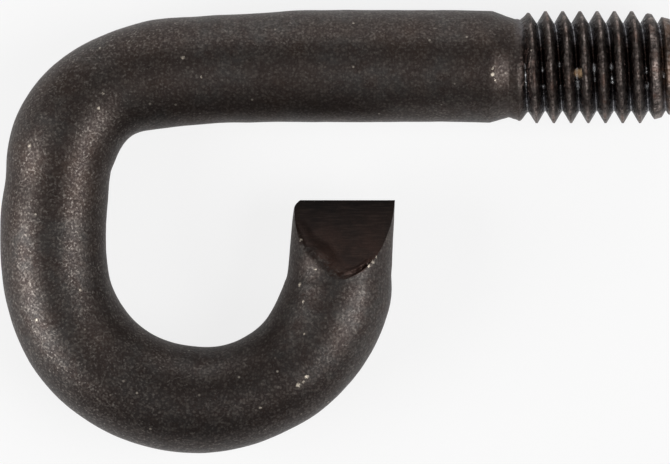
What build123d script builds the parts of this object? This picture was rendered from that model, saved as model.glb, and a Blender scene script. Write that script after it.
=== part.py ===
from build123d import *
import os

# Screw hook: one steel rod, threaded at one end, bent round at the other and pinched off as a chisel.
# It lies flat: +X runs along the shank to the free end of the thread, which is the origin,
# the hook hangs towards -Y, and +Z is up, square to the plane of the hook. Millimetres and degrees.

# Rod
ROD_DIAMETER = 9.75

# Stud, as the thread's outside: full diameter over its crests, narrower where the first and last turns fade
THREAD_DIAMETER = 9.85
THREAD_LENGTH = 13.0
START_CHAMFER_LENGTH = 0.9
END_CHAMFER_LENGTH = 2.3
END_DIAMETER = 8.3

# Shoulder, a cone from the shank down to the narrow neck where the thread begins
NECK_DIAMETER = 8.2
SHOULDER_LENGTH = 2.6

# Straight shank, and the length over which it is drawn down to the bent rod
SHANK_LENGTH = 12.4
DRAW_LENGTH = 4.0

# Bends along the rod: a slack lead-in, a tight corner, a short leg and the round of the hook
LEAD_RADIUS = 81.4
LEAD_TURN = 10.2
CORNER_INNER_RADIUS = 3.57
CORNER_TURN = 75.9
LEG_LENGTH = 6.95
HOOK_INNER_RADIUS = 7.92
HOOK_TURN = 179.5

# Bending draws the rod thinner, and pinching off the tip a little more
BEND_THINNING = 0.45
TIP_THINNING = 0.65

# Tip, pinched off from both sides to a blunt chisel edge that lies along the shank
TIP_LENGTH = 5.9
BEVEL_LENGTH = 7.0
EDGE_THICKNESS = 0.6

# Every cut runs past what it cuts by this much
CUT_OVERRUN = 0.8

ROD_RADIUS = ROD_DIAMETER / 2
BENT_RADIUS = ROD_RADIUS - BEND_THINNING / 2
TIP_RADIUS = BENT_RADIUS - TIP_THINNING / 2
SHANK_START = -THREAD_LENGTH - SHOULDER_LENGTH
DRAW_START = SHANK_START - SHANK_LENGTH
BEND_START = DRAW_START - DRAW_LENGTH


def turned(*profile_points):
    """A solid of revolution about +Z, from points of (radius, height)."""
    outline = Polyline(*profile_points, close=True)
    return revolve(Plane.XZ * make_face(outline), Axis.Z)


def straight_end():
    """The stud, the cone of the shoulder, the straight round shank and its taper down to the bends."""
    along_shank = Plane(origin=(0, 0, 0), x_dir=(0, 1, 0), z_dir=(1, 0, 0))
    return along_shank * turned(
        (0, 0),
        (END_DIAMETER / 2, 0),
        (THREAD_DIAMETER / 2, -END_CHAMFER_LENGTH),
        (THREAD_DIAMETER / 2, START_CHAMFER_LENGTH - THREAD_LENGTH),
        (NECK_DIAMETER / 2, -THREAD_LENGTH),
        (ROD_RADIUS, SHANK_START),
        (ROD_RADIUS, DRAW_START),
        (BENT_RADIUS, BEND_START),
        (0, BEND_START),
    )


def bent_end():
    """The rod from the shank round to its tip, with the tip pinched to a chisel."""
    lead = JernArc((BEND_START, 0), (-1, 0), LEAD_RADIUS, LEAD_TURN)
    corner = JernArc(lead @ 1, lead % 1, CORNER_INNER_RADIUS + BENT_RADIUS, CORNER_TURN)
    leg = Line(corner @ 1, corner @ 1 + corner % 1 * LEG_LENGTH)
    bow = JernArc(leg @ 1, leg % 1, HOOK_INNER_RADIUS + BENT_RADIUS, HOOK_TURN)
    across_start = Plane(origin=lead @ 0, x_dir=(0, 0, 1), z_dir=lead % 0)
    bends = sweep(across_start * Circle(BENT_RADIUS), path=Wire([lead, corner, leg, bow]))

    across_tip = Plane(origin=bow @ 1, x_dir=(0, 0, 1), z_dir=bow % 1)
    blank_length = TIP_LENGTH + CUT_OVERRUN
    tip = across_tip * turned(
        (0, 0),
        (BENT_RADIUS, 0),
        (TIP_RADIUS, blank_length),
        (0, blank_length),
    )

    # What the two jaws take away, in points of (distance past the edge, height above the middle of the rod)
    half_edge = EDGE_THICKNESS / 2
    reach = BENT_RADIUS + CUT_OVERRUN
    bevel_foot = -BEVEL_LENGTH * (reach - half_edge) / (BENT_RADIUS - half_edge)
    pinch_outline = Polyline(
        (2 * CUT_OVERRUN, -reach),
        (2 * CUT_OVERRUN, reach),
        (bevel_foot, reach),
        (0, half_edge),
        (0, -half_edge),
        (bevel_foot, -reach),
        close=True,
    )
    across_edge = Plane(origin=bow @ 1 + bow % 1 * TIP_LENGTH, x_dir=(0, 1, 0), z_dir=(1, 0, 0))
    pinch = extrude(across_edge * make_face(pinch_outline), amount=2 * BENT_RADIUS, both=True)
    return bends + tip - pinch


screw_hook = straight_end() + bent_end()
os.makedirs("parts", exist_ok=True)
export_step(screw_hook, "parts/screw_hook.step")
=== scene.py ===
import math

import bmesh
import bpy
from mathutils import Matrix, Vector


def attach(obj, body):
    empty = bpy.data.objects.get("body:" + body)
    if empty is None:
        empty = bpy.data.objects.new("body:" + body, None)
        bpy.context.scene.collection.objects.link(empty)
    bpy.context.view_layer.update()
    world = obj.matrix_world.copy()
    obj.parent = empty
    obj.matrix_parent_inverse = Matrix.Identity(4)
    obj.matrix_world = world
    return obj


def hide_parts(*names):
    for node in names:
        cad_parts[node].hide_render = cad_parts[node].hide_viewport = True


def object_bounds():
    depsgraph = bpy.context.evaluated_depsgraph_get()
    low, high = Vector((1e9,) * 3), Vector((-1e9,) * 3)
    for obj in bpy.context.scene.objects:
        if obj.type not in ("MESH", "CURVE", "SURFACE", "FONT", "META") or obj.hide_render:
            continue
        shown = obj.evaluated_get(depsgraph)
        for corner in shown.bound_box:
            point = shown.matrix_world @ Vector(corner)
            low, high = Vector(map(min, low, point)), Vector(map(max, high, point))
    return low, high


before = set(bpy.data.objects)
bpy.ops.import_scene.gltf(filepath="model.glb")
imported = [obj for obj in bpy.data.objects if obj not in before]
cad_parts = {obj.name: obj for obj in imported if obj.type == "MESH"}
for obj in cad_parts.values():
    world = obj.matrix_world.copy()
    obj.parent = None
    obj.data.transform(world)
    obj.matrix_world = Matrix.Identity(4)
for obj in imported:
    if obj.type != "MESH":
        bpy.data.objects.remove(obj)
cad_low, cad_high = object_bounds()

# Threaded stud: the straight end of the steel rod, its coarse thread rolled between dies before the bending.
# The ridges are pressed up out of the rod's own metal, a hair off its middle, so the first turns rise slowly
# out of the shoulder's cone, and the last ones are turned down to a chamfer at the flat end.
MM = 0.001
COLUMNS = 68
THREAD_PITCH = 1.5 * MM
CREST_RADIUS = 4.885 * MM
ROOT_RADIUS = 3.84 * MM
CREST_FLAT = 0.16 * MM
ROOT_FLAT = 0.09 * MM
FLANK_STEPS = 4
TOP_CREST_X = -12.32 * MM
THREAD_TURNS = 12
LEAD_IN_TURNS = 2
ROD_RADIUS = 4.87 * MM
SHOULDER_X = -15.53 * MM
SHOULDER_SLOPE = 0.33
# Distance from the thread's end and radius there, in mm, of the crests and of the roots as they run out
CREST_RUN_OUT = ((-13.82, 4.0), (-13.07, 4.68), (-12.32, 4.74), (-11.57, 4.885))
ROOT_RUN_OUT = ((-14.07, 4.38), (-13.63, 4.45), (-12.95, 4.12), (-12.5, 3.93), (-11.45, 3.84))
END_RADIUS = 4.2 * MM
END_CHAMFER = 2.55 * MM
OFF_AXIS = 0.1 * MM
STUD_X = -14.3 * MM
MERGE = 0.001 * MM


def edit(piece):
    """Goes into edit mode on this piece alone, with everything on it selected."""
    bpy.ops.object.select_all(action="DESELECT")
    piece.select_set(True)
    bpy.context.view_layer.objects.active = piece
    bpy.ops.object.mode_set(mode="EDIT")
    bpy.ops.mesh.select_all(action="SELECT")


def leave_edit():
    bpy.ops.object.mode_set(mode="OBJECT")


def start_point(name, place):
    """A new piece that is one point, ready to be extruded: a small plane merged at its middle."""
    bpy.ops.object.select_all(action="DESELECT")
    bpy.ops.mesh.primitive_plane_add(size=MM, location=place)
    piece = bpy.context.object
    piece.name = name
    bpy.ops.object.transform_apply(location=True, rotation=True, scale=True)
    edit(piece)
    bpy.ops.mesh.merge(type="CENTER")
    return piece


def extrude(step):
    bpy.ops.mesh.extrude_region_move(TRANSFORM_OT_translate={"value": step})


def ease(value, low, high):
    """0 below low, 1 above high, and a smooth rise between them."""
    share = min(1, max(0, (value - low) / (high - low)))
    return share * share * (3 - 2 * share)


def follow(rows, distance):
    """The values at this distance, eased between rows that each hold a distance in mm and its values."""
    before = rows[0]
    for after in rows[1:]:
        if distance < after[0] * MM:
            rise = ease(distance, before[0] * MM, after[0] * MM)
            return [low + (high - low) * rise for low, high in zip(before[1:], after[1:])]
        before = after
    return before[1:]


first_root = TOP_CREST_X - THREAD_PITCH * (LEAD_IN_TURNS + 1 / 2)
flank_length = (THREAD_PITCH - CREST_FLAT - ROOT_FLAT) / 2
flank_step = Vector((flank_length, CREST_RADIUS - ROOT_RADIUS, 0)) / FLANK_STEPS
stud = start_point("bent_rod", (first_root, ROOT_RADIUS, 0))
extrude((ROOT_FLAT / 2, 0, 0))
for _ in range(FLANK_STEPS):
    extrude(flank_step)
extrude((CREST_FLAT / 2, 0, 0))
extrude((CREST_FLAT / 2, 0, 0))
for _ in range(FLANK_STEPS):
    extrude((flank_step.x, -flank_step.y, 0))
extrude((ROOT_FLAT / 2, 0, 0))
leave_edit()

turns = stud.modifiers.new("turns", "SCREW")
turns.axis = "X"
turns.angle = math.tau
turns.screw_offset = THREAD_PITCH
turns.iterations = THREAD_TURNS
turns.steps = turns.render_steps = COLUMNS
bpy.ops.object.modifier_apply(modifier="turns")


def shoulder_radius(x):
    return min(ROD_RADIUS, ROD_RADIUS - (x - SHOULDER_X) * SHOULDER_SLOPE)


for vertex in stud.data.vertices:
    x, y, z = vertex.co
    full = math.hypot(y, z)
    height = (full - ROOT_RADIUS) / (CREST_RADIUS - ROOT_RADIUS)
    turn = math.atan2(z, y) / math.tau
    turn += round((x - TOP_CREST_X) / THREAD_PITCH - turn)
    (crest,) = follow(CREST_RUN_OUT, TOP_CREST_X + turn * THREAD_PITCH)
    (root,) = follow(ROOT_RUN_OUT, x)
    ridge = (root + (crest - root) * height) * MM
    chamfer = max(ROOT_RADIUS, END_RADIUS + (CREST_RADIUS - END_RADIUS) * -x / END_CHAMFER)
    share = min(max(ridge, shoulder_radius(x)), chamfer) / full
    vertex.co = (x, y * share - OFF_AXIS, z * share)

edit(stud)
bpy.ops.mesh.remove_doubles(threshold=MERGE)
bpy.ops.mesh.bisect(plane_co=(STUD_X, 0, 0), plane_no=(1, 0, 0), clear_inner=True, threshold=MERGE)
bpy.ops.mesh.select_all(action="SELECT")
bpy.ops.mesh.bisect(
    plane_co=(0, 0, 0), plane_no=(1, 0, 0), use_fill=True, clear_outer=True, threshold=MERGE
)
leave_edit()

# Rod: the same round steel bar from the shoulder's cone through the shank and round the bends.
# It was bent hot round a former, which pushed it sideways and drew it thinner in places, and left it
# slightly uneven.
ROD_STEP = 0.36 * MM
BEND_START_X = -32.0 * MM
LEAD_RADIUS = 81.4 * MM
LEAD_TURN = 10.2
CORNER_RADIUS = 8.22 * MM
CORNER_TURN = 75.9
LEG_LENGTH = 6.95 * MM
HOOK_RADIUS = 12.57 * MM
HOOK_TURN = 179.5
TIP_LENGTH = 5.9 * MM
TIP_OVERRUN = 1.2 * MM
# Distance from the thread's end and push towards the inside of the bend, in mm, and share of the thickness
BENT_SHAPE = (
    (14.0, 0.1, 1.0),
    (19.0, 0.0, 1.0),
    (31.0, 0.0, 1.003),
    (35.8, 0.07, 0.974),
    (40.0, -0.08, 0.966),
    (44.3, -0.25, 0.976),
    (48.5, -0.07, 0.923),
    (54.8, 0.0, 0.97),
    (58.6, -0.07, 0.928),
    (61.6, -0.19, 0.945),
    (67.0, 0.08, 0.947),
    (73.3, 0.0, 0.972),
    (82.3, 0.115, 0.961),
    (90.8, 0.0, 0.921),
    (93.8, -0.08, 0.933),
    (99.5, -0.01, 0.967),
    (101.4, -0.02, 0.964),
    (103.6, 0.13, 0.927),
    (107.2, 0.16, 0.91),
    (110.5, 0.13, 0.885),
)
UNEVEN_SIZE = 2.6 * MM
UNEVEN_HEIGHT = 0.07 * MM

start_point("path", (STUD_X - ROD_STEP / 2, 0, 0))
path_end = Vector((STUD_X - ROD_STEP / 2, 0, 0))
heading = Vector((-1, 0, 0))


def straight(length):
    """Takes the path straight on."""
    global path_end
    steps = math.ceil(length / ROD_STEP)
    for _ in range(steps):
        extrude(heading * length / steps)
    path_end = path_end + heading * length


def bend(radius, turn):
    """Takes the path round to the left, as seen from above."""
    global path_end, heading
    left = Vector((-heading.y, heading.x, 0))
    centre = path_end + left * radius
    angle = math.radians(turn)
    bpy.ops.mesh.spin(
        steps=math.ceil(angle * radius / ROD_STEP), angle=-angle, center=centre, axis=(0, 0, 1)
    )
    heading = heading * math.cos(angle) + left * math.sin(angle)
    path_end = centre - Vector((-heading.y, heading.x, 0)) * radius


straight(path_end.x - BEND_START_X)
bend(LEAD_RADIUS, LEAD_TURN)
bend(CORNER_RADIUS, CORNER_TURN)
straight(LEG_LENGTH)
bend(HOOK_RADIUS, HOOK_TURN)
edge_y = path_end.y + heading.y * TIP_LENGTH
straight(TIP_LENGTH + TIP_OVERRUN)
leave_edit()

bpy.ops.object.convert(target="CURVE")
rod = bpy.context.object
points = rod.data.splines[0].points
places = [point.co.xyz for point in points]
distance = -places[0].x
for i, point in enumerate(points):
    ahead = (places[min(i + 1, len(places) - 1)] - places[max(i - 1, 0)]).normalized()
    distance += (places[i] - places[max(i - 1, 0)]).length
    push, share = follow(BENT_SHAPE, distance)
    point.co.xyz = places[i] + Vector((-ahead.y, ahead.x, 0)) * push * MM
    point.radius = share * shoulder_radius(-distance) / ROD_RADIUS
    # The last point beside the edge of the tip gives the middle of that edge
    if abs(point.co.y - edge_y) < ROD_STEP and i > len(places) / 2:
        edge = point.co.xyz
rod.data.bevel_depth = ROD_RADIUS
# This resolution gives the rod as many columns as the thread
rod.data.bevel_resolution = COLUMNS // 2 - 2
rod.data.use_fill_caps = True
bpy.ops.object.convert(target="MESH")
rod = bpy.context.object
edit(rod)
bpy.ops.mesh.remove_doubles(threshold=MERGE)
leave_edit()

uneven_part = rod.vertex_groups.new(name="uneven")
for vertex in rod.data.vertices:
    uneven_part.add([vertex.index], ease(SHOULDER_X - vertex.co.x, 0, UNEVEN_SIZE), "REPLACE")
uneven = rod.modifiers.new("uneven", "DISPLACE")
uneven.texture = bpy.data.textures.new("uneven", "CLOUDS")
uneven.texture.noise_scale = UNEVEN_SIZE
uneven.strength = UNEVEN_HEIGHT
uneven.vertex_group = uneven_part.name
bpy.ops.object.modifier_apply(modifier=uneven.name)

# Pinched tip: the hot end of the rod was nipped off between two wedge-shaped jaws, which left a sloping flat
# on each side and a blunt edge that lost a corner. On one side of each flat the rod's skin is smeared over
# it, and on the other the flat stops at a tear with a raised lip.
HALF_EDGE = 0.3 * MM
JAW_SLOPE = 0.62
TIP_REACH = 9 * MM
TIP_CUTS = 2
SKIN_START = Vector((-4.12, 2.88)) * MM
SKIN_END = Vector((0.46, 6.8)) * MM
SKIN_WAVE = 0.14 * MM
SKIN_WAVE_LENGTH = 3.0 * MM
SKIN_BLEND = 1.3 * MM
TEAR = 0.22 * MM
TEAR_DEPTH = 0.2 * MM
LIP = 0.22 * MM
LIP_HEIGHT = 0.14 * MM
LIP_START = -0.9 * MM
LIP_END = 2.5 * MM
LIP_FADE = 0.9 * MM
CORNER_REACH = 0.7 * MM
CORNER_LOSS = 0.42 * MM
CORNER_INSIDE = 0.4 * ROD_RADIUS
CORNER_OUTSIDE = 0.8 * ROD_RADIUS
FACING_STUD = 0.9

edge.y = edge_y


def select_tip(beyond):
    """Selects the faces of the tip, from this far beyond the edge and back as far as the jaws reached."""
    mesh = bmesh.from_edit_mesh(rod.data)
    for face in mesh.faces:
        offset = face.calc_center_median() - edge
        face.select_set(abs(offset.x) < 2 * ROD_RADIUS and -beyond < -offset.y < TIP_REACH)
    bmesh.update_edit_mesh(rod.data)


def cut_share(aside, back):
    """1 where the jaw's flat lies bare, 0 where the rod's skin still covers it."""
    skin_line = (SKIN_END - SKIN_START).normalized()
    offset = Vector((aside, back)) - SKIN_START
    wave = SKIN_WAVE * (1 - math.cos(math.tau * offset.dot(skin_line) / SKIN_WAVE_LENGTH))
    return ease(offset.x * skin_line.y - offset.y * skin_line.x + wave, -SKIN_BLEND, SKIN_BLEND)


def torn_lip(over, aside):
    """The tear beside the rod's skin and the lip inside it, by how much metal the jaw took away there."""
    along = ease(aside, LIP_START, LIP_START + LIP_FADE) * (1 - ease(aside, LIP_END - LIP_FADE, LIP_END))
    if over < TEAR:
        return -TEAR_DEPTH * math.sin(math.pi * over / TEAR) * along
    if over < TEAR + LIP:
        return LIP_HEIGHT * math.sin(math.pi * (over - TEAR) / LIP) * along
    return 0


edit(rod)
bpy.ops.mesh.select_mode(type="FACE")
select_tip(2 * TIP_OVERRUN)
bpy.ops.mesh.bisect(plane_co=edge, plane_no=(0, 1, 0), use_fill=True, clear_outer=True, threshold=MERGE)
select_tip(-MERGE)
bpy.ops.mesh.subdivide(number_cuts=TIP_CUTS)
for side in (1, -1):
    select_tip(-MERGE)
    bpy.ops.mesh.bisect(
        plane_co=edge + Vector((0, 0, side * HALF_EDGE)),
        plane_no=(0, JAW_SLOPE * side, 1),
        threshold=MERGE,
    )
leave_edit()

jaw_marks = rod.data.attributes.new("jaw_mark", "FLOAT", "POINT")
for vertex in rod.data.vertices:
    place = vertex.co
    aside = place.x - edge.x
    back = edge.y - place.y
    if abs(aside) < 2 * ROD_RADIUS and -MERGE < back < TIP_REACH:
        corner = max(0, 1 - back / CORNER_REACH) ** 2 * ease(-aside, CORNER_INSIDE, CORNER_OUTSIDE)
        place.x += CORNER_LOSS * corner
        for side in (1, -1):
            jaw = HALF_EDGE + JAW_SLOPE * back
            over = place.z * side - jaw
            if over > -MERGE:
                cut = cut_share(aside * side, back)
                place.z = side * (jaw + over * (1 - cut) + torn_lip(over, aside * side) * cut)
                jaw_marks.data[vertex.index].value = cut

# The rod's other end is opened, towards the stud
edit(rod)
mesh = bmesh.from_edit_mesh(rod.data)
for face in mesh.faces:
    face.select_set(face.normal.x > FACING_STUD and face.calc_center_median().x > STUD_X - ROD_STEP)
bmesh.update_edit_mesh(rod.data)
bpy.ops.mesh.delete(type="FACE")
leave_edit()

# Whole hook: the stud and the rod are one piece of steel, so their open ends are bridged to one skin.
# The cuts left faces with more than four sides, which are split into triangles.
SMOOTH_ANGLE = 24
bpy.ops.object.select_all(action="DESELECT")
rod.select_set(True)
stud.select_set(True)
bpy.context.view_layer.objects.active = stud
bpy.ops.object.join()
hook = stud
edit(hook)
bpy.ops.mesh.select_all(action="DESELECT")
bpy.ops.mesh.select_mode(type="EDGE")
bpy.ops.mesh.select_non_manifold(extend=False, use_wire=False, use_multi_face=False, use_non_contiguous=False)
bpy.ops.mesh.bridge_edge_loops()
bpy.ops.mesh.select_mode(type="VERT")
bpy.ops.mesh.select_all(action="SELECT")
bpy.ops.mesh.normals_make_consistent(inside=False)
bpy.ops.mesh.select_all(action="DESELECT")
bpy.ops.mesh.select_mode(type="FACE")
bpy.ops.mesh.select_face_by_sides(number=4, type="GREATER", extend=False)
bpy.ops.mesh.quads_convert_to_tris(ngon_method="BEAUTY")
leave_edit()
bpy.ops.object.select_all(action="DESELECT")
hook.select_set(True)
bpy.context.view_layer.objects.active = hook
bpy.ops.object.shade_smooth_by_angle(angle=math.radians(SMOOTH_ANGLE))
bpy.context.view_layer.update()
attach(hook, "root")
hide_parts("screw_hook")

# Mill scale: the black oxide that the fire left on the steel, all over from the shoulder to the tip. It gives
# a dull black skin with a fine sparkle in the light bands, faint brown patches and small pale chips where it
# flaked off. Painted shade darkens the round of the hook, and painted glints sit on the shoulder. A thin film
# of oil lies over all of the hook and lightens its rims.


def hex_colour(text):
    """An sRGB hex colour as linear red, green, blue and alpha."""
    parts = [int(text[i : i + 2], 16) / 255 for i in (1, 3, 5)]
    return [c / 12.92 if c <= 0.04045 else ((c + 0.055) / 1.055) ** 2.4 for c in parts] + [1]


def add_node(tree, kind, inputs=(), **settings):
    """Adds a node with its settings and gives its outputs.

    Inputs are values, or outputs to link, by the name of the socket or in the order of the sockets. A Map
    Range takes its value first, then the range that it comes from and the range that it goes to. A Mix of
    colours has the lower one at socket 6, the upper one at 7, and the result at output 2.
    """
    node = tree.nodes.new(kind)
    for name, value in settings.items():
        setattr(node, name, value)
    for socket, source in inputs.items() if isinstance(inputs, dict) else enumerate(inputs):
        if isinstance(source, bpy.types.NodeSocket):
            tree.links.new(source, node.inputs[socket])
        else:
            node.inputs[socket].default_value = source
    return node.outputs


OIL_SHARE = 0.2
OIL_ROUGHNESS = 0.4
PATCH_SIZE = 6.0 * MM
CLOUD_SIZE = 1.3 * MM
CLUMP_SIZE = 0.8 * MM
# The real grain is finer than a pixel of the picture, so it is drawn as coarse as it needs to show.
GRAIN_SIZE = 0.2 * MM
GRAIN_DETAIL = 4.0
GRAIN_HEIGHT = 0.03 * MM
FLECK_SPACING = 0.27 * MM
FLECK_SHARE = 0.2
SPECK_SPACING = 1.1 * MM
# The grain is rubbed lighter towards the corner, along X. Painted shade makes the round of the hook darker,
# along -Y.
SCUFF_START_X = -40 * MM
SCUFF_END_X = -48 * MM
PAINTED_SHADE_START_Y = -23 * MM
PAINTED_SHADE_END_Y = -29 * MM
SCALE_GREY = hex_colour("#4c4846")
PATCH_BROWN = hex_colour("#473c37")
CLOUD_BROWN = hex_colour("#443b38")
ROUND_PAINTED_SHADE = hex_colour("#2b2524")
GRAIN_LIGHT = hex_colour("#938c85")
GRAIN_DARK = hex_colour("#2d2421")
FLECK_GREY = hex_colour("#9c938a")
SPECK_PALE = hex_colour("#b4ab9f")
CHIP_AND_GLINT_PALE = hex_colour("#d8cdbd")
SPOT_EDGE_SIZE = 0.15 * MM
SPOT_EDGE_SHIFT = 0.4 * MM
# Place on top of the hook and radius of each chip, in mm. The first three, on the shoulder, are painted
# glints rather than chips.
CHIPS_AND_PAINTED_GLINTS = (
    (-15.5, -0.35, 0.1),
    (-15.5, -0.87, 0.16),
    (-15.3, -1.3, 0.09),
    (-42.3, 0.6, 0.13),
    (-40.7, -1.05, 0.09),
    (-49.2, -2.5, 0.09),
    (-49.6, -3.75, 0.12),
    (-55.6, -7, 0.13),
    (-51.2, -19.5, 0.12),
    (-55, -22.1, 0.11),
    (-35.6, -29.7, 0.1),
    (-32.3, -27.7, 0.18),
    (-31.9, -27.45, 0.12),
    (-31.6, -27, 0.15),
    (-31.8, -23.3, 0.1),
    (-31.9, -20.5, 0.14),
    (-32.2, -19, 0.16),
    (-30.8, -17.7, 0.08),
    (-32.1, -15.15, 0.13),
    (-26.2, -17.35, 0.16),
    (-25.85, -17.05, 0.14),
    (-25.55, -16.65, 0.1),
)
# The jaws pressed the flats of the tip almost black, browner away from the edge, with faint lines along it.
FLAT_BLACK = hex_colour("#171312")
FLAT_BROWN = hex_colour("#3c2b25")
FLAT_LINE = hex_colour("#5f5048")
FLAT_BLOTCH_SIZE = 1.8 * MM
FLAT_BROWN_REACH = 5 * MM
FLAT_EDGE_SIZE = 0.3 * MM
# The real lines are finer too
LINE_SPACING = 0.16 * MM
LINE_STRETCH = 0.12


def new_finish(name):
    """A new metal material under the film of oil: itself, its tree, its shader and the place on it."""
    finish = bpy.data.materials.new(name)
    finish.use_nodes = True
    tree = finish.node_tree
    shader = tree.nodes["Principled BSDF"]
    shader.inputs["Metallic"].default_value = 1
    shader.inputs["Coat Weight"].default_value = OIL_SHARE
    shader.inputs["Coat Roughness"].default_value = OIL_ROUGHNESS
    place = add_node(tree, "ShaderNodeTexCoord")["Object"]
    return finish, tree, shader, place


def spots(tree, place, places):
    """1 on each of some small spots on top of the hook, given as (x, y, radius) in mm, with ragged edges."""
    shift = add_node(tree, "ShaderNodeTexNoise", {"Vector": place, "Scale": 1 / SPOT_EDGE_SIZE})["Color"]
    inputs = (shift, (SPOT_EDGE_SHIFT,) * 3, place)
    ragged = add_node(tree, "ShaderNodeVectorMath", inputs, operation="MULTIPLY_ADD")[0]
    total = 0.0
    for x, y, radius in places:
        _, middle, _, _ = hook.ray_cast(Vector((x * MM, y * MM, 2 * ROD_RADIUS)), (0, 0, -1))
        inputs = (ragged, middle + Vector((SPOT_EDGE_SHIFT / 2,) * 3))
        away = add_node(tree, "ShaderNodeVectorMath", inputs, operation="DISTANCE")["Value"]
        spot = add_node(tree, "ShaderNodeMapRange", (away, 0.4 * radius * MM, 1.3 * radius * MM, 1, 0))[0]
        total = add_node(tree, "ShaderNodeMath", (spot, total), operation="MAXIMUM")[0]
    return total


def flecks(tree, place, spacing, radius, rarity):
    """1 on small round flecks, strewn at about this spacing; radius and rarity are shares."""
    cells = add_node(tree, "ShaderNodeTexVoronoi", {"Vector": place, "Scale": 1 / spacing})
    kind = add_node(tree, "ShaderNodeSeparateColor", {"Color": cells["Color"]})["Red"]
    dot = add_node(tree, "ShaderNodeMapRange", (cells["Distance"], radius / 2, radius, 1, 0))[0]
    chosen = add_node(tree, "ShaderNodeMapRange", (kind, rarity, 1))[0]
    return add_node(tree, "ShaderNodeMath", (dot, chosen), operation="MULTIPLY")[0]


def scale_coat(tree, place):
    """The coat of scale, cloudy black with light grain, browner in patches and painted darker on the round as
    shade.
    """
    patches = add_node(tree, "ShaderNodeTexNoise", {"Vector": place, "Scale": 1 / PATCH_SIZE})[0]
    patches = add_node(tree, "ShaderNodeMapRange", (patches, 0.43, 0.6))[0]
    clouds = add_node(tree, "ShaderNodeTexNoise", {"Vector": place, "Scale": 1 / CLOUD_SIZE})[0]
    clouds = add_node(tree, "ShaderNodeMapRange", (clouds, 0.35, 0.65))[0]
    parts = add_node(tree, "ShaderNodeSeparateXYZ", (place,))
    # Painted shade: the round of the hook, towards -Y, is painted darker
    black = add_node(tree, "ShaderNodeMapRange", (parts["Y"], PAINTED_SHADE_START_Y, PAINTED_SHADE_END_Y, 0, 0.55))[0]
    scuffed = add_node(tree, "ShaderNodeMapRange", (parts["X"], SCUFF_START_X, SCUFF_END_X, 0.65, 1.25))[0]
    clumps = add_node(tree, "ShaderNodeTexNoise", {"Vector": place, "Scale": 1 / CLUMP_SIZE})[0]
    clumps = add_node(tree, "ShaderNodeMapRange", (clumps, 0.35, 0.65, 0.15, 0.7))[0]
    clumps = add_node(tree, "ShaderNodeMath", (clumps, scuffed), operation="MULTIPLY")[0]
    inputs = {"Vector": place, "Scale": 1 / GRAIN_SIZE, "Detail": GRAIN_DETAIL}
    grain = add_node(tree, "ShaderNodeTexNoise", inputs)[0]
    light = add_node(tree, "ShaderNodeMapRange", (grain, 0.53, 0.73))[0]
    light = add_node(tree, "ShaderNodeMath", (light, clumps), operation="MULTIPLY")[0]
    dark = add_node(tree, "ShaderNodeMapRange", (grain, 0.5, 0.25, 0, 0.45))[0]
    faint = flecks(tree, place, FLECK_SPACING, radius=0.7, rarity=0.3)
    faint = add_node(tree, "ShaderNodeMath", (faint, FLECK_SHARE), operation="MULTIPLY")[0]
    layers = (
        (patches, PATCH_BROWN),
        (clouds, CLOUD_BROWN),
        (black, ROUND_PAINTED_SHADE),
        (light, GRAIN_LIGHT),
        (dark, GRAIN_DARK),
        (faint, FLECK_GREY),
        (flecks(tree, place, SPECK_SPACING, radius=0.12, rarity=0.7), SPECK_PALE),
    )
    colour = SCALE_GREY
    for share, over in layers:
        colour = add_node(tree, "ShaderNodeMix", {"Factor": share, 6: colour, 7: over}, data_type="RGBA")[2]
    return colour, grain


def drag_lines(tree, place, stretch):
    """Fine lines that a cutting edge leaves, along the directions in which stretch is small."""
    drawn = add_node(tree, "ShaderNodeVectorMath", (place, stretch), operation="MULTIPLY")[0]
    return add_node(tree, "ShaderNodeTexNoise", {"Vector": drawn, "Scale": 1 / LINE_SPACING})[0]


def jaw_flat(tree, place):
    """The colour of the flats that the hot jaws pressed."""
    parts = add_node(tree, "ShaderNodeSeparateXYZ", (place,))
    back = add_node(tree, "ShaderNodeMapRange", (parts["Y"], edge_y, edge_y - FLAT_BROWN_REACH, 0.1, 1))[0]
    blotches = add_node(tree, "ShaderNodeTexNoise", {"Vector": place, "Scale": 1 / FLAT_BLOTCH_SIZE})[0]
    blotches = add_node(tree, "ShaderNodeMapRange", (blotches, 0.35, 0.6, 0.4, 1))[0]
    brown = add_node(tree, "ShaderNodeMath", (back, blotches), operation="MULTIPLY")[0]
    lines = drag_lines(tree, place, (LINE_STRETCH, 1, 1))
    lines = add_node(tree, "ShaderNodeMapRange", (lines, 0.45, 0.75, 0, 0.18))[0]
    colour = FLAT_BLACK
    for share, over in ((brown, FLAT_BROWN), (lines, FLAT_LINE)):
        colour = add_node(tree, "ShaderNodeMix", {"Factor": share, 6: colour, 7: over}, data_type="RGBA")[2]
    return colour


mill_scale, tree, shader, place = new_finish("black mill scale on hot bent steel")
colour, grain = scale_coat(tree, place)
jaw_mark = add_node(tree, "ShaderNodeAttribute", attribute_name="jaw_mark")["Fac"]
ragged = add_node(tree, "ShaderNodeTexNoise", {"Vector": place, "Scale": 1 / FLAT_EDGE_SIZE})[0]
ragged = add_node(tree, "ShaderNodeMapRange", (ragged, 0.3, 0.7, -0.25, 0.25))[0]
bare = add_node(tree, "ShaderNodeMath", (jaw_mark, ragged), operation="ADD")[0]
bare = add_node(tree, "ShaderNodeMapRange", (bare, 0.1, 0.5))[0]
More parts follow.
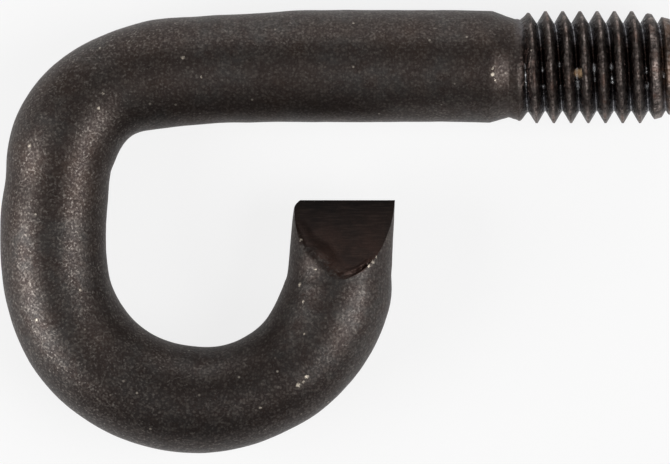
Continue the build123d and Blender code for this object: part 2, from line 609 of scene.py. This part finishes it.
# The pale spots are chips, and on the shoulder painted glints
for share, over in ((bare, jaw_flat(tree, place)), (spots(tree, place, CHIPS_AND_PAINTED_GLINTS), CHIP_AND_GLINT_PALE)):
    colour = add_node(tree, "ShaderNodeMix", {"Factor": share, 6: colour, 7: over}, data_type="RGBA")[2]
tree.links.new(colour, shader.inputs["Base Color"])
roughness = add_node(tree, "ShaderNodeMapRange", (grain, 0.3, 0.7, 0.57, 0.4))[0]
tree.links.new(roughness, shader.inputs["Roughness"])
bump = add_node(tree, "ShaderNodeBump", {"Height": grain, "Distance": GRAIN_HEIGHT})["Normal"]
tree.links.new(bump, shader.inputs["Normal"])

# Rolled thread: the same steel where the dies pressed it, used and oiled since. Its grooves hold dark oily
# dirt, painted darker still as shade, with painted glints and painted grey sheen at their bottoms, and one
# tan crumb;
# its crests are rubbed to bare grey steel, and its end is a little rusty.
LUMP_SIZE = 0.4 * MM
CREST_EDGE_SHIFT = 0.14 * MM
RUB_SIZE = 0.22 * MM
RUB_PATCH_SIZE = 1.4 * MM
GLINT_SPOT_SIZE = 1.0 * MM
GLINT_MIDDLE_Y = -0.9 * MM
DIRT_SIZE = 0.6 * MM
DIRT_DETAIL = 3.0
RUST_SIZE = 0.7 * MM
RUST_SHARE = 0.4
GROOVES_START_X = -13.3 * MM
GROOVES_FULL_X = -12.6 * MM
RUBBED_DARK = hex_colour("#544945")
RUBBED_LIGHT = hex_colour("#aa9e98")
RUBBED_BROWN = hex_colour("#6e4e40")
GROOVE_DIRT_AND_SHADE = hex_colour("#30231f")
ROOT_PAINTED_SHEEN = hex_colour("#8b8b90")
PAINTED_GLINT_PALE = hex_colour("#cfcfd1")
DIRT_BLACK = hex_colour("#221a18")
RUST_BROWN = hex_colour("#77563d")
CRUMB_TAN = hex_colour("#f2cfa4")
CRUMBS = ((-7.97, -0.7, 0.42),)
rolled_thread, tree, shader, place = new_finish("rolled steel thread with rubbed crests")
colour, grain = scale_coat(tree, place)

# How far each place lies below the outside of the thread, with a ragged limit
centred = add_node(tree, "ShaderNodeVectorMath", (place, (0, OFF_AXIS, 0)), operation="ADD")[0]
parts = add_node(tree, "ShaderNodeSeparateXYZ", (centred,))
across = add_node(tree, "ShaderNodeCombineXYZ", {"Y": parts["Y"], "Z": parts["Z"]})[0]
radius = add_node(tree, "ShaderNodeVectorMath", (across,), operation="LENGTH")["Value"]
inputs = (parts["X"], -END_CHAMFER, 0, CREST_RADIUS, END_RADIUS + 0.15 * MM)
outside = add_node(tree, "ShaderNodeMapRange", inputs)[0]
below = add_node(tree, "ShaderNodeMath", (outside, radius), operation="SUBTRACT")[0]
lumps = add_node(tree, "ShaderNodeTexNoise", {"Vector": place, "Scale": 1 / LUMP_SIZE})[0]
ragged = add_node(tree, "ShaderNodeMapRange", (lumps, 0.3, 0.7, -CREST_EDGE_SHIFT, CREST_EDGE_SHIFT))[0]
below = add_node(tree, "ShaderNodeMath", (below, ragged), operation="ADD")[0]
crest = add_node(tree, "ShaderNodeMapRange", (below, 0.28 * MM, 0.02 * MM))[0]
grooved = add_node(tree, "ShaderNodeMapRange", (parts["X"], GROOVES_START_X, GROOVES_FULL_X))[0]
# Deep in the grooves the colour is darker: oily dirt, and painted shade as well
groove = add_node(tree, "ShaderNodeMapRange", (below, 0.25 * MM, 0.7 * MM))[0]
groove = add_node(tree, "ShaderNodeMath", (groove, grooved), operation="MULTIPLY")[0]

# Painted sheen: the bottom of a groove is painted grey where it goes over the sides of the stud, as seen from
# above
inputs = (radius, ROOT_RADIUS + 0.05 * MM, ROOT_RADIUS + 0.4 * MM, 1, 0)
root = add_node(tree, "ShaderNodeMapRange", inputs)[0]
aside = add_node(tree, "ShaderNodeMath", (parts["Y"],), operation="ABSOLUTE")[0]
aside = add_node(tree, "ShaderNodeMapRange", (aside, 1.6 * MM, 3.2 * MM))[0]
broken = add_node(tree, "ShaderNodeMapRange", (lumps, 0.35, 0.55, 0.4, 1))[0]
for share in (aside, broken):
    root = add_node(tree, "ShaderNodeMath", (root, share), operation="MULTIPLY")[0]

# Painted glints: where oil stands in the bottom of the grooves along the top of the stud, pale spots are
# painted as its shine
inputs = (radius, ROOT_RADIUS + 0.08 * MM, ROOT_RADIUS + 0.22 * MM, 1, 0)
painted_glint = add_node(tree, "ShaderNodeMapRange", inputs)[0]
glint_band = add_node(tree, "ShaderNodeMath", (parts["Y"], GLINT_MIDDLE_Y), operation="SUBTRACT")[0]
glint_band = add_node(tree, "ShaderNodeMath", (glint_band,), operation="ABSOLUTE")[0]
glint_band = add_node(tree, "ShaderNodeMapRange", (glint_band, 0.8 * MM, 1.3 * MM, 1, 0))[0]
glint_spots = add_node(tree, "ShaderNodeTexNoise", {"Vector": place, "Scale": 1 / GLINT_SPOT_SIZE})[0]
glint_spots = add_node(tree, "ShaderNodeMapRange", (glint_spots, 0.5, 0.58))[0]
for share in (glint_band, glint_spots):
    painted_glint = add_node(tree, "ShaderNodeMath", (painted_glint, share), operation="MULTIPLY")[0]

# The rubbed crests, in fine light and dark with brown patches
light = add_node(tree, "ShaderNodeTexNoise", {"Vector": place, "Scale": 1 / RUB_SIZE})[0]
light = add_node(tree, "ShaderNodeMapRange", (light, 0.38, 0.66))[0]
brown = add_node(tree, "ShaderNodeTexNoise", {"Vector": place, "Scale": 1 / RUB_PATCH_SIZE})[0]
brown = add_node(tree, "ShaderNodeMapRange", (brown, 0.52, 0.68, 0, 0.6))[0]
rubbed = RUBBED_DARK
for share, over in ((light, RUBBED_LIGHT), (brown, RUBBED_BROWN)):
    rubbed = add_node(tree, "ShaderNodeMix", {"Factor": share, 6: rubbed, 7: over}, data_type="RGBA")[2]

# Dirt over crests and grooves alike, and rust towards the end
inputs = {"Vector": place, "Scale": 1 / DIRT_SIZE, "Detail": DIRT_DETAIL}
dirt = add_node(tree, "ShaderNodeTexNoise", inputs)[0]
dirt = add_node(tree, "ShaderNodeMapRange", (dirt, 0.48, 0.62, 0, 0.75))[0]
dirt = add_node(tree, "ShaderNodeMath", (dirt, grooved), operation="MULTIPLY")[0]
rust = add_node(tree, "ShaderNodeTexNoise", {"Vector": place, "Scale": 1 / RUST_SIZE})[0]
rust = add_node(tree, "ShaderNodeMapRange", (rust, 0.4, 0.6, 0.2, 1))[0]
near_end = add_node(tree, "ShaderNodeMapRange", (parts["X"], -1.2 * MM, -0.2 * MM))[0]
for share in (near_end, RUST_SHARE):
    rust = add_node(tree, "ShaderNodeMath", (rust, share), operation="MULTIPLY")[0]
crumb = spots(tree, place, CRUMBS)
layers = (
    (groove, GROOVE_DIRT_AND_SHADE),
    (root, ROOT_PAINTED_SHEEN),
    (painted_glint, PAINTED_GLINT_PALE),
    (crest, rubbed),
    (dirt, DIRT_BLACK),
    (rust, RUST_BROWN),
    (crumb, CRUMB_TAN),
)
for share, over in layers:
    colour = add_node(tree, "ShaderNodeMix", {"Factor": share, 6: colour, 7: over}, data_type="RGBA")[2]
tree.links.new(colour, shader.inputs["Base Color"])
metal = add_node(tree, "ShaderNodeMapRange", (crumb, 0, 1, 1, 0))[0]
tree.links.new(metal, shader.inputs["Metallic"])
roughness = add_node(tree, "ShaderNodeMapRange", (groove, 0, 1, 0.48, 0.27))[0]
tree.links.new(roughness, shader.inputs["Roughness"])
lumpy = add_node(tree, "ShaderNodeMapRange", (groove, 0, 1, 1, 6))[0]
height = add_node(tree, "ShaderNodeMath", (lumps, lumpy, grain), operation="MULTIPLY_ADD")[0]
bump = add_node(tree, "ShaderNodeBump", {"Height": height, "Distance": GRAIN_HEIGHT})["Normal"]
tree.links.new(bump, shader.inputs["Normal"])

# Sheared steel: the flat end of the stud, where it was cut from the bar, and the blunt edge of the tip, where
# it was nipped off. They show bare grey metal with the lines of the cut, gone brown in patches.
CUT_PATCH_SIZE = 1.6 * MM
CUT_ROUGHNESS = 0.5
CUT_HEIGHT = 0.02 * MM
CUT_GREY = hex_colour("#5a5653")
CUT_BROWN = hex_colour("#57473e")
CUT_LINE = hex_colour("#8c8580")
SQUARE_ON = 0.99
sheared, tree, shader, place = new_finish("brown sheared steel")
browned = add_node(tree, "ShaderNodeTexNoise", {"Vector": place, "Scale": 1 / CUT_PATCH_SIZE})[0]
browned = add_node(tree, "ShaderNodeMapRange", (browned, 0.42, 0.62))[0]
lines = drag_lines(tree, place, (LINE_STRETCH, LINE_STRETCH, 1))
lines = add_node(tree, "ShaderNodeMapRange", (lines, 0.45, 0.7, 0, 0.35))[0]
colour = CUT_GREY
for share, over in ((browned, CUT_BROWN), (lines, CUT_LINE)):
    colour = add_node(tree, "ShaderNodeMix", {"Factor": share, 6: colour, 7: over}, data_type="RGBA")[2]
tree.links.new(colour, shader.inputs["Base Color"])
shader.inputs["Roughness"].default_value = CUT_ROUGHNESS
inputs = {"Vector": place, "Scale": 1 / GRAIN_SIZE, "Detail": GRAIN_DETAIL}
grain = add_node(tree, "ShaderNodeTexNoise", inputs)[0]
bump = add_node(tree, "ShaderNodeBump", {"Height": grain, "Distance": CUT_HEIGHT})["Normal"]
tree.links.new(bump, shader.inputs["Normal"])

# Each face of the hook takes its finish by its place
finishes = (mill_scale, rolled_thread, sheared)
hook.data.materials.clear()
for finish in finishes:
    hook.data.materials.append(finish)
for face in hook.data.polygons:
    at_end = face.normal.x > SQUARE_ON and face.center.x > -MERGE
    at_edge = face.normal.y > SQUARE_ON and abs(face.center.y - edge_y) < MERGE
    if at_end or at_edge:
        face.material_index = finishes.index(sheared)
    elif face.center.x > STUD_X:
        face.material_index = finishes.index(rolled_thread)

# Stage: a plain floor of white paper under the hook, which lies flat on it. The white that the camera and the
# metal see is part paper and part plain white, so that shadows stay faint on it.
FLOOR_SIZE = 1.6
PAPER_WHITE = hex_colour("#f4f4f4")
PAPER_ROUGHNESS = 0.9
WHITE_TO_CAMERA = 0.82
WHITE_TO_METAL = 0.2
middle = Vector(((cad_low.x + cad_high.x) / 2, (cad_low.y + cad_high.y) / 2, 0))
bpy.ops.object.select_all(action="DESELECT")
bpy.ops.mesh.primitive_plane_add(size=FLOOR_SIZE, location=(middle.x, middle.y, cad_low.z))
floor = bpy.context.object
floor.name = "floor"
floor_white = bpy.data.materials.new("white paper floor")
floor_white.use_nodes = True
tree = floor_white.node_tree
paper = tree.nodes["Principled BSDF"]
paper.inputs["Base Color"].default_value = PAPER_WHITE
paper.inputs["Roughness"].default_value = PAPER_ROUGHNESS
rays = add_node(tree, "ShaderNodeLightPath")
seen = add_node(tree, "ShaderNodeMath", (rays["Is Camera Ray"], WHITE_TO_CAMERA), operation="MULTIPLY")[0]
for kind in ("Is Glossy Ray", "Is Transmission Ray"):
    seen = add_node(tree, "ShaderNodeMath", (rays[kind], WHITE_TO_METAL, seen), operation="MULTIPLY_ADD")[0]
white = add_node(tree, "ShaderNodeEmission", {"Strength": 1})[0]
both = add_node(tree, "ShaderNodeMixShader", (seen, paper.outputs[0], white))[0]
tree.links.new(both, tree.nodes["Material Output"].inputs["Surface"])
floor.data.materials.append(floor_white)

# Light: one soft box high on the right, one low on the left, and weak ones behind and above, in a dim room.
# Each has its turn from the thread's direction and its height, in degrees, its power in watts, and its width
# and depth in metres.
LAMP_DISTANCE = 0.65
ROOM_LIGHT = 0.13
SOFT_BOXES = (
    (-13, 44, 2.35, 0.46, 0.38),
    (194, 27, 2.85, 0.46, 0.34),
    (90, 20, 0.84, 0.6, 0.36),
    (270, 78, 0.12, 0.4, 0.4),
)
for turn, height, power, width, depth in SOFT_BOXES:
    lamp_data = bpy.data.lights.new("soft box", "AREA")
    lamp_data.shape = "RECTANGLE"
    lamp_data.size = width
    lamp_data.size_y = depth
    lamp_data.energy = power
    lamp = bpy.data.objects.new("soft box", lamp_data)
    bpy.context.scene.collection.objects.link(lamp)
    turn = math.radians(turn)
    height = math.radians(height)
    away = Vector((math.cos(height) * math.cos(turn), math.cos(height) * math.sin(turn), math.sin(height)))
    lamp.location = middle + away * LAMP_DISTANCE
    lamp.rotation_mode = "QUATERNION"
    lamp.rotation_quaternion = (-away).to_track_quat("-Z", "Y")
world = bpy.context.scene.world or bpy.data.worlds.new("World")
bpy.context.scene.world = world
world.use_nodes = True
world.node_tree.nodes["Background"].inputs["Color"].default_value = (1, 1, 1, 1)
world.node_tree.nodes["Background"].inputs["Strength"].default_value = ROOM_LIGHT

# Camera: straight above the hook with a long lens, so that the rod's far side hardly shrinks.
# It is framed as in the photograph, by the pixels where the thread's end and the shank's axis lie there.
MM_PER_PIXEL = 0.0871
PHOTO_WIDTH = 670
PHOTO_HEIGHT = 464
THREAD_END_PIXEL = 669.5
SHANK_AXIS_PIXEL = 66
CAMERA_DISTANCE = 0.7
SENSOR_WIDTH = 36
camera_data = bpy.data.cameras.new("camera")
camera = bpy.data.objects.new("camera", camera_data)
bpy.context.scene.collection.objects.link(camera)
bpy.context.scene.camera = camera
camera.location = (
    (PHOTO_WIDTH / 2 - THREAD_END_PIXEL) * MM_PER_PIXEL * MM,
    (SHANK_AXIS_PIXEL - PHOTO_HEIGHT / 2) * MM_PER_PIXEL * MM,
    CAMERA_DISTANCE,
)
camera_data.sensor_width = SENSOR_WIDTH
camera_data.lens = SENSOR_WIDTH * CAMERA_DISTANCE / (PHOTO_WIDTH * MM_PER_PIXEL * MM)
bpy.context.scene.view_settings.view_transform = "Standard"
